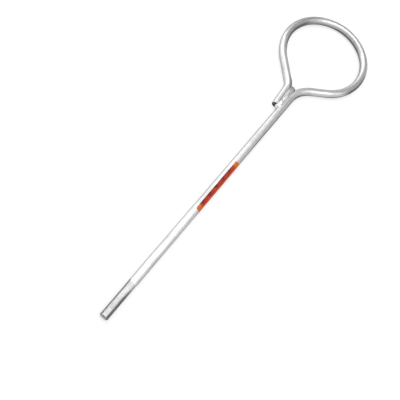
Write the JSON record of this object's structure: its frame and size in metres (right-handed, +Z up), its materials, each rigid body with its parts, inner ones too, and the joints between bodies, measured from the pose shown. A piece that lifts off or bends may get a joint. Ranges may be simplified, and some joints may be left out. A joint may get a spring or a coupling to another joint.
{
  "type": "eye anchor rod",
  "caption": "Galvanised steel anchor rod: a long round bar, threaded at one end and bent at the other into a big welded pear-shaped eye that takes a guy wire.",
  "frame": {"origin": "middle of the bottom of the rod's bounding box, on the ground it lies on", "axes": "+Y along the rod from its threaded end to its eye, +Z up out of the eye's plane, +X toward the side the label is on"},
  "size_m": [0.1948, 0.8132, 0.017],
  "materials": {
    "galvanised_steel": "hot-dip galvanised, bright and slightly rough",
    "label_film": "satin printed film"
  },
  "bodies": {
    "root": {"eye_rod": "galvanised_steel", "marker_label": "label_film"}
  },
  "joints": []
}
